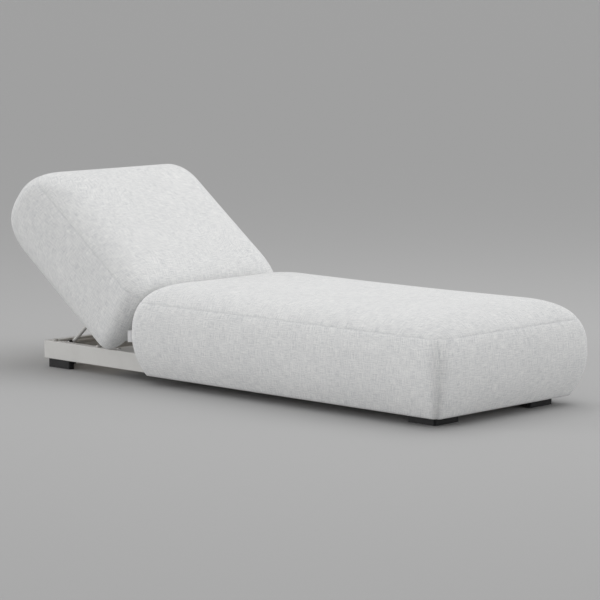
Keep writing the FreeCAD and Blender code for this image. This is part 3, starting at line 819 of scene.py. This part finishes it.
    def turn_hem(self, panels: Shape) -> None:
        """Turn the open edge in under the pod, then up to the frame.

        Args:
            panels: the pod, open below.
        """
        mouth = self.mouth
        crease = panels.edges.layers.float.new(CREASE)
        for vert in self.drawn_out(panels, self.hem_crease):
            x, y, z = vert.co
            if mouth.end.value * (x - self.joint_x()) > -HEM_DEPTH and abs(y) < mouth.half + NEAR:
                in_slit = mouth.slit_half and abs(abs(y) - mouth.slit_y) < mouth.slit_half + NEAR
                if in_slit and z > mouth.lip + NEAR:
                    vert.co.y = math.copysign(mouth.slit_y, y)
                vert.co.x = mouth.wall_x
            else:
                vert.co.x = min(max(x, mouth.inner_low), mouth.inner_high)
                vert.co.y = min(max(y, -mouth.inner_half), mouth.inner_half)
        bmesh.ops.remove_doubles(panels, verts=panels.verts, dist=MERGE)
        for vert in self.drawn_out(panels, 1.0):
            vert.co.z = max(vert.co.z, mouth.lift)
        bmesh.ops.remove_doubles(panels, verts=panels.verts, dist=MERGE)
        bmesh.ops.dissolve_degenerate(panels, edges=panels.edges, dist=HAIR)
        for edge in self.rim(panels):
            edge[crease] = 1.0
        panels.normal_update()
        turned_in = panels.faces.layers.int[TURNED_IN]
        self.lay_cloth(panels, [face for face in panels.faces if face[turned_in]])

    @staticmethod
    def rim(panels: Shape) -> list[Edge]:
        """The open edges of the pod."""
        return [edge for edge in panels.edges if edge.is_boundary]

    def drawn_out(self, panels: Shape, weight: float) -> list[Vert]:
        """Crease the open edges, extrude them in place and mark the new faces.

        Args:
            panels: the pod.
            weight: the crease, from 0 to 1.

        Returns:
            The new vertices.
        """
        crease = panels.edges.layers.float[CREASE]
        turned_in = panels.faces.layers.int[TURNED_IN]
        rim = self.rim(panels)
        for edge in rim:
            edge[crease] = weight
        made = bmesh.ops.extrude_edge_only(panels, edges=rim)["geom"]
        for part in made:
            if isinstance(part, Face):
                part[turned_in] = 1
        return [part for part in made if isinstance(part, Vert)]

    def build(self, cloth: Material) -> Piece:
        """Make the pod and set it on its body.

        Args:
            cloth: the upholstery.

        Returns:
            The piece.
        """
        panels = self.fill()
        self.sew(panels)
        self.open_mouth(panels)
        self.turn_hem(panels)
        bmesh.ops.recalc_face_normals(panels, faces=panels.faces)
        if self.tilt:
            turn = Matrix.Rotation(self.tilt, 3, "Y")
            bmesh.ops.rotate(panels, cent=(self.hinge[0], 0, self.hinge[1]), matrix=turn, verts=panels.verts)
        piece = made_up(panels, self.name, cloth, True)
        rounder = piece.modifiers.new("rounding", "SUBSURF")
        rounder.levels = 1
        rounder.render_levels = 1
        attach(piece, self.body)
        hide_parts(*self.nodes)
        return piece


def seat_pod() -> Pod:
    """The fixed seat pod.

    Returns:
        The pod, ready to build.
    """
    form = PodForm(x_low=-0.3575, x_high=1.0103, bottom=0.033, low_bulge=0.0375, high_bulge=0.052,
                   hem_drop=0.002, corner_share=(0.85, 1.0), height=0.324)
    mouth = Mouth(end=End.HEAD, lip=0.0986, half=0.3136, wall_x=-0.3400, inner_low=-0.40, inner_high=0.9708,
                  inner_half=0.3136, lift=0.0986)
    nodes = ("seat_cover", "seat_foam", "seat_left_skirt", "seat_right_skirt", "seat_foot_skirt")
    return Pod("seat_pod", "base", nodes, form, mouth, swell_cap=0.015)


def backrest_pod() -> Pod:
    """The tilting backrest pod, cut lying flat.

    Returns:
        The pod, ready to build.
    """
    form = PodForm(x_low=-1.1057, x_high=-0.4697, bottom=0.035, low_bulge=0.048, high_bulge=0.041,
                   hem_drop=0.021, top_round_share=2.2, foot_round=0.040, swell_power=2.7)
    mouth = Mouth(end=End.FOOT, lip=0.1046, half=0.3192, wall_x=-0.4893, inner_low=-1.0720, inner_high=-0.40,
                  inner_half=0.3190, lift=0.1314, slit_y=0.200, slit_half=0.009, slit_top=0.216)
    nodes = ("backrest_cover", "backrest_foam", "backrest_left_skirt", "backrest_right_skirt",
             "backrest_head_skirt")
    return Pod("backrest_pod", "backrest", nodes, form, mouth, plain_corners=True, hinge=(-0.4127, 0.190),
               tilt=math.radians(37.2))


def linked(piece: Piece) -> Piece:
    """Set an object in the scene."""
    bpy.context.scene.collection.objects.link(piece)
    return piece


def made_up(shape: Shape, name: str, finish: Material, soft: bool) -> Piece:
    """Turn a finished shape into an object.

    Args:
        shape: the mesh, which is freed.
        name: the object's name.
        finish: its material.
        soft: whether it is shaded smooth.

    Returns:
        The object.
    """
    for face in shape.faces:
        face.smooth = soft
    mesh = bpy.data.meshes.new(name)
    shape.to_mesh(mesh)
    shape.free()
    mesh.materials.append(finish)
    return linked(bpy.data.objects.new(name, mesh))


def stand(shape: Shape, name: str, finish: Material, body: str, soft: bool = False) -> Piece:
    """Turn a finished shape into a piece that rides on a body.

    Args:
        shape: the mesh, which is freed.
        name: the piece's name.
        finish: its material.
        body: the body that it moves with.
        soft: whether it is shaded smooth.

    Returns:
        The piece.
    """
    piece = made_up(shape, name, finish, soft)
    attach(piece, body)
    return piece


@dataclass
class SeatLining:
    """The lining stretched over the slats, under the seat's foam."""

    low: float = -0.3390
    high: float = 0.9700
    half: float = 0.3128
    level: float = 0.0984
    thickness: float = 0.0012
    cells: tuple[int, int] = (100, 30)
    slat_half: float = 0.031
    clear_half: float = 0.280
    sag: float = 0.005

    def hang(self, x: float, y: float) -> float:
        """How far the lining sags between two slats.

        Args:
            x: place along the seat.
            y: place across it.

        Returns:
            The sag in metres.
        """
        run = ((x - SLAT_FIRST) / SLAT_PITCH) % 1.0 * SLAT_PITCH - self.slat_half
        span = SLAT_PITCH - 2 * self.slat_half
        if not 0.0 < run < span:
            return 0.0
        return self.sag * math.sin(math.pi * run / span) * max(0.0, 1 - (y / self.clear_half) ** 4)

    def build(self, cloth: Material) -> Piece:
        """Make the lining.

        Args:
            cloth: its material.

        Returns:
            The piece.
        """
        sheet = bmesh.new()
        bmesh.ops.create_grid(sheet, x_segments=self.cells[0], y_segments=self.cells[1], size=0.5)
        bmesh.ops.scale(sheet, vec=(self.high - self.low, 2 * self.half, 1.0), verts=sheet.verts)
        bmesh.ops.translate(sheet, vec=((self.low + self.high) / 2, 0, self.level), verts=sheet.verts)
        for vert in sheet.verts:
            vert.co.z -= self.hang(vert.co.x, vert.co.y)
        bmesh.ops.solidify(sheet, geom=sheet.faces[:], thickness=self.thickness)
        bmesh.ops.recalc_face_normals(sheet, faces=sheet.faces)
        lowest = min(vert.co.z + self.hang(vert.co.x, vert.co.y) for vert in sheet.verts)
        bmesh.ops.translate(sheet, vec=(0, 0, self.level - lowest), verts=sheet.verts)
        return stand(sheet, "seat_lining", cloth, "base", True)


@dataclass
class SewnTag:
    """A folded ribbon tag in the seat's head-end corner seam, left blank."""

    low: float = 0.152
    high: float = 0.193
    reach: float = 0.0205
    sewn_in: float = 0.008
    thickness: float = 0.0012
    wave: float = 0.0022
    wave_turn: float = 3.0
    fold_round: float = 0.0004
    corner: tuple[float, float] = (-0.3718, -0.3838)

    def build(self, ribbon: Material) -> Piece:
        """Make the tag and set it on the frame.

        Args:
            ribbon: its cloth.

        Returns:
            The piece.
        """
        tag = bmesh.new()
        bmesh.ops.create_cube(tag, size=1.0)
        length = self.reach + self.sewn_in
        bmesh.ops.scale(tag, vec=(length, self.thickness, self.high - self.low), verts=tag.verts)
        long_edges = [edge for edge in tag.edges if Pod.runs_along(edge, 0)]
        bmesh.ops.subdivide_edges(tag, edges=long_edges, cuts=6)
        for vert in tag.verts:
            vert.co.y += self.wave * math.sin(self.wave_turn * (vert.co.x / length))
        fold = [edge for edge in tag.edges if Pod.runs_along(edge, 2) and edge.verts[0].co.x < -FOLD * length]
        bmesh.ops.bevel(tag, geom=fold, offset=self.fold_round, segments=2, affect="EDGES", profile=0.5,
                        material=-1)
        turn = Matrix.Rotation(math.radians(45), 3, "Z")
        bmesh.ops.rotate(tag, cent=(0, 0, 0), matrix=turn, verts=tag.verts)
        out = (length / 2 - self.sewn_in) * math.sqrt(0.5)
        place = (self.corner[0] - out, self.corner[1] - out, (self.low + self.high) / 2)
        bmesh.ops.translate(tag, vec=place, verts=tag.verts)
        bmesh.ops.recalc_face_normals(tag, faces=tag.faces)
        return stand(tag, "blank_tag", ribbon, "base")


@dataclass
class SocketScrew:
    """A button-head screw with a hexagon socket."""

    radius: float = 0.0065
    height: float = 0.0032
    socket: float = 0.0030
    depth: float = 0.0020
    sides: int = 20

    def add_to(self, shape: Shape, place: Vector, axis: Vector) -> None:
        """Set one screw head on a surface.

        Args:
            shape: the mesh that takes it.
            place: middle of its seat.
            axis: way that the head faces.
        """
        levels = ((self.sides, self.radius, 0.0), (self.sides, 0.93 * self.radius, 0.55 * self.height),
                  (self.sides, 0.66 * self.radius, self.height), (6, self.socket, self.height),
                  (6, self.socket, self.height - self.depth))
        rings = [self.ring(shape, *level) for level in levels]
        for lower, upper in zip(rings, rings[1:]):
            bmesh.ops.bridge_loops(shape, edges=self.edges_of(lower) + self.edges_of(upper))
        bmesh.ops.contextual_create(shape, geom=self.edges_of(rings[-1]))
        verts = [vert for ring in rings for vert in ring]
        turn = UP.rotation_difference(axis).to_matrix()
        bmesh.ops.rotate(shape, cent=(0, 0, 0), matrix=turn, verts=verts)
        bmesh.ops.translate(shape, vec=place, verts=verts)

    @staticmethod
    def ring(shape: Shape, sides: int, radius: float, rise: float) -> list[Vert]:
        """A level ring of vertices about the origin."""
        made = bmesh.ops.create_circle(shape, segments=sides, radius=radius)["verts"]
        bmesh.ops.translate(shape, vec=(0, 0, rise), verts=made)
        return made

    @staticmethod
    def edges_of(ring: list[Vert]) -> list[Edge]:
        """The edges that join a ring's own vertices."""
        own = set(ring)
        near = dict.fromkeys(edge for vert in ring for edge in vert.link_edges)
        return [edge for edge in near if own.issuperset(edge.verts)]


@dataclass
class FrameFittings:
    """Screws, slat holders, weld beads and pin caps on the frame, hinge and prop."""

    plate_rows: tuple[float, ...] = (-0.570, -0.488, -0.396)
    plate_edge: float = 0.270
    plate_top: float = 0.0960
    rail_inner: float = 0.283
    rail_gap: float = 0.0004
    slat_count: int = 7
    slat_low: float = 0.0840
    slat_gap: float = 0.0003
    holder: Triple = (0.070, 0.030, 0.0045)
    holder_round: float = 0.0012
    lip: tuple[float, float] = (0.0030, 0.014)
    lip_inset: float = 0.0016
    lip_rise: float = 0.0066
    lip_round: float = 0.0008
    lug_grow: float = 0.007
    lug_bead: float = 0.0035
    lug_round: float = 0.0016
    arm_y: float = 0.258
    arm_half: float = 0.0075
    rod_bead: float = 0.0018

    def build(self, finishes: dict[str, Material]) -> list[Piece]:
        """Make every kind of fitting.

        Args:
            finishes: the material of each slot.

        Returns:
            One piece of each kind.
        """
        kinds = ((self.screws, "plate_screws", "base", "steel", False),
                 (self.slat_holders, "slat_holders", "base", "black_plastic", False),
                 (self.lug_welds, "lug_welds", "base", "frame_paint", True),
                 (self.rod_welds, "rod_welds", "prop", "frame_paint", True),
                 (self.pin_caps, "pin_caps", "base", "steel", False))
        pieces = []
        for fill, name, body, slot, soft in kinds:
            shape = bmesh.new()
            fill(shape)
            bmesh.ops.recalc_face_normals(shape, faces=shape.faces)
            pieces.append(stand(shape, name, finishes[slot], body, soft))
        return pieces

    @staticmethod
    def soft_block(shape: Shape, size: Triple, place: Triple, edge: float) -> None:
        """Add a block with rounded edges.

        Args:
            shape: the mesh that takes it.
            size: its three sizes.
            place: its middle.
            edge: edge radius.
        """
        made = bmesh.ops.create_cube(shape, size=1.0)["verts"]
        bmesh.ops.scale(shape, vec=size, verts=made)
        bmesh.ops.translate(shape, vec=place, verts=made)
        edges = list(dict.fromkeys(item for vert in made for item in vert.link_edges))
        bmesh.ops.bevel(shape, geom=edges, offset=edge, offset_type="OFFSET", segments=2, affect="EDGES",
                        profile=0.5, material=-1)

    def screws(self, shape: Shape) -> None:
        """Add the screws that hold the cross-plate to a mesh."""
        for side, row in product(SIDES, self.plate_rows):
            SocketScrew().add_to(shape, Vector((row, side * self.plate_edge, self.plate_top)), UP)

    def slat_holders(self, shape: Shape) -> None:
        """Add the holders that carry each slat end on the rails.

        Args:
            shape: the mesh that takes them.
        """
        length, width, wall = self.holder
        for count, side in product(range(self.slat_count), SIDES):
            x = SLAT_FIRST + count * SLAT_PITCH
            y = side * (self.rail_inner - width / 2 - self.rail_gap)
            place = (x, y, self.slat_low - self.slat_gap - wall / 2)
            self.soft_block(shape, self.holder, place, self.holder_round)
            for end in SIDES:
                place = (x + end * (length / 2 - self.lip_inset), y, self.slat_low + self.lip_rise)
                self.soft_block(shape, (self.lip[0], width, self.lip[1]), place, self.lip_round)

    def lug_welds(self, shape: Shape) -> None:
        """Add the weld round the foot of each hinge lug.

        Args:
            shape: the mesh that takes them.
        """
        for name in ("left_hinge_lug", "right_hinge_lug"):
            low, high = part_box(name)
            middle = (low + high) / 2
            size = (high.x - low.x + self.lug_grow, high.y - low.y + self.lug_grow, self.lug_bead)
            place = (middle.x, middle.y, self.plate_top + self.lug_bead / 2)
            self.soft_block(shape, size, place, self.lug_round)

    def rod_welds(self, shape: Shape) -> None:
        """Add the weld bead where each prop arm meets the cross rod.

        Args:
            shape: the mesh that takes them.
        """
        low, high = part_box("prop_cross_rod")
        middle = (low + high) / 2
        radius = (high.z - low.z) / 2
        for side, edge in product(SIDES, SIDES):
            bead = bmesh.ops.create_circle(shape, segments=8, radius=self.rod_bead)["verts"]
            for axis in "XZ":
                turn = Matrix.Rotation(math.pi / 2, 3, axis)
                bmesh.ops.rotate(shape, cent=(0, 0, 0), matrix=turn, verts=bead)
            y = side * self.arm_y + edge * self.arm_half
            bmesh.ops.translate(shape, vec=(middle.x, y, middle.z + radius), verts=bead)
            bmesh.ops.spin(shape, geom=bead + SocketScrew.edges_of(bead), cent=(middle.x, y, middle.z),
                           axis=(0, 1, 0), dvec=(0, 0, 0), angle=2 * math.pi, steps=24, use_merge=True)
        bmesh.ops.remove_doubles(shape, verts=shape.verts, dist=HAIR)

    def pin_caps(self, shape: Shape) -> None:
        """Add the push-on caps on the inner ends of the hinge pins.

        Args:
            shape: the mesh that takes them.
        """
        cap = SocketScrew(radius=0.0078, height=0.0026, socket=0.0026, depth=0.0012)
        for name, way in (("left_hinge_pin", -1), ("right_hinge_pin", 1)):
            low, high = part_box(name)
            middle = (low + high) / 2
            inner = low.y if way < 0 else high.y
            cap.add_to(shape, Vector((middle.x, inner, middle.z)), Vector((0, way, 0)))


def dress(frame: dict, finishes: dict[str, Material]) -> int:
    """Set every CAD node's material by its slot.

    Args:
        frame: the loaded frame.
        finishes: the material of each slot.

    Returns:
        How many nodes were dressed.
    """
    parts = frame["record"]["subparts"]
    for part in parts:
        materials = frame["nodes"][part["node"]].data.materials
        materials.clear()
        materials.append(finishes[part["material_slot"]])
    return len(parts)


@dataclass
class Studio:
    """Floor, lights and camera."""

    floor_size: float = 320.0
    floor_gap: float = 0.0005
    sky: float = 0.665
    eye: Triple = (6.5582, -6.8296, 1.4877)
    eye_turn: Triple = (82.84, 0.0, 43.52)
    lens: float = 162.4
    sensor: float = 36.0
    far: float = 400.0

    def floor(self, finish: Material) -> None:
        """Lay the floor.

        Args:
            finish: its material.
        """
        ground = bmesh.new()
        bmesh.ops.create_grid(ground, x_segments=2, y_segments=2, size=self.floor_size / 2)
        bmesh.ops.translate(ground, vec=(0, 0, -self.floor_gap), verts=ground.verts)
        piece = made_up(ground, "floor", finish, False)

    @staticmethod
    def lamp(name: str, kind: str, power: float, way: Vector, **soft: float) -> Piece:
        """Set a soft lamp in the scene.

        Args:
            name: its name.
            kind: AREA, or SUN for one far off that lights the floor evenly.
            power: watts, or watts per square metre from far off.
            way: direction in which it shines.
            soft: its size in metres, or its angle.

        Returns:
            The lamp.
        """
        light = bpy.data.lights.new(name, kind)
        light.energy = power
        for key, value in soft.items():
            setattr(light, key, value)
        piece = linked(bpy.data.objects.new(name, light))
        piece.rotation_euler = way.to_track_quat("-Z", "Y").to_euler()
        return piece

    def light(self) -> None:
        """Set the sky and the lamps."""
        world = bpy.data.worlds.new("studio")
        bpy.context.scene.world = world
        world.use_nodes = True
        sky = world.node_tree.nodes["Background"]
        sky.inputs["Color"].default_value = (1.0, 1.0, 1.0, 1.0)
        sky.inputs["Strength"].default_value = self.sky
        above, middle = Vector((0.3, 0.9, 4.3)), Vector((0.3, 0.0, 0.2))
        self.lamp("overhead", "AREA", 64.0, middle - above, size=4.0).location = above
        self.lamp("side_fill", "SUN", 1.38, Vector((4.2, 4.6, -0.58)), angle=math.radians(27.0))
        self.lamp("foot_fill", "SUN", 0.78, Vector((-5.0, -2.3, -0.8)), angle=math.radians(31.0))

    def camera(self) -> None:
        """Stand the camera where the photograph was taken."""
        data = bpy.data.cameras.new("photo_view")
        data.lens = self.lens
        data.sensor_width = self.sensor
        data.clip_end = self.far
        piece = linked(bpy.data.objects.new("photo_view", data))
        piece.location = self.eye
        piece.rotation_euler = tuple(math.radians(part) for part in self.eye_turn)
        bpy.context.scene.camera = piece


def main() -> None:
    """Build every piece in order and report it."""
    logging.basicConfig(level=logging.INFO, format="%(message)s", force=True)
    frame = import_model()
    bpy.context.scene.view_settings.view_transform = "Standard"
    cloth = WovenCloth().material()
    moulded = {"tones": (0.45, 0.80), "mottle": ((26.0,) * 3, 6.0, 0.65), "relief": (0.00025, 0.5),
               "grain": ((1500.0,) * 3, 2.0, 0.55), "specular": 0.22}
    black = GrainedFinish("black_plastic", (0.008, 0.008, 0.009), (0.022, 0.022, 0.022), 0.5, **moulded)
    rubber = GrainedFinish("bumper_rubber", (0.50, 0.49, 0.47), (0.58, 0.57, 0.55), 0.8, **moulded)
    slat = SawnWood("slat_birch", (0.62, 0.47, 0.29), (0.45, 0.31, 0.17), (28.0, 3.0, 40.0))
    board = SawnWood("board_ply", (0.55, 0.42, 0.27), (0.40, 0.28, 0.16), (30.0, 2.0, 30.0))
    steel = GrainedFinish("plated_steel", (0.4032, 0.4032, 0.396), (0.56, 0.56, 0.55), 0.36, (0.25, 0.75),
                          ((900.0, 40.0, 900.0), 3.0, 0.55), (0.0001, 0.3), metallic=1.0)
    lining = GrainedFinish("lining_cloth", (0.09, 0.09, 0.093), (0.15, 0.15, 0.155), 0.95, (0.3, 0.7),
                           ((700.0,) * 3, 4.0, 0.7), (0.0004, 0.6))
    ribbon = GrainedFinish("tag_ribbon", (0.7396, 0.7396, 0.7482), (0.86, 0.86, 0.87), 0.7, (0.3, 0.6),
                           ((200.0, 200.0, 2600.0), 2.0, 0.55), (0.0002, 0.6), sheen=0.1)
    finishes = {"frame_paint": PowderCoat().material(), "black_plastic": black.material(),
                "bumper_rubber": rubber.material(), "steel": steel.material(), "slat_wood": slat.material(),
                "board_wood": board.material(), "upholstery": cloth, "foam": cloth}
    LOG.info("dressed %d nodes", dress(frame, finishes))
    pieces = [pod.build(cloth) for pod in (seat_pod(), backrest_pod())]
    pieces += [SeatLining().build(lining.material()), SewnTag().build(ribbon.material())]
    for piece in pieces + FrameFittings().build(finishes):
        LOG.info("%s: %d faces", piece.name, len(piece.data.polygons))
    studio = Studio()
    studio.floor(StudioFloor().material())
    studio.light()
    studio.camera()


if __name__ == "__main__":
    main()
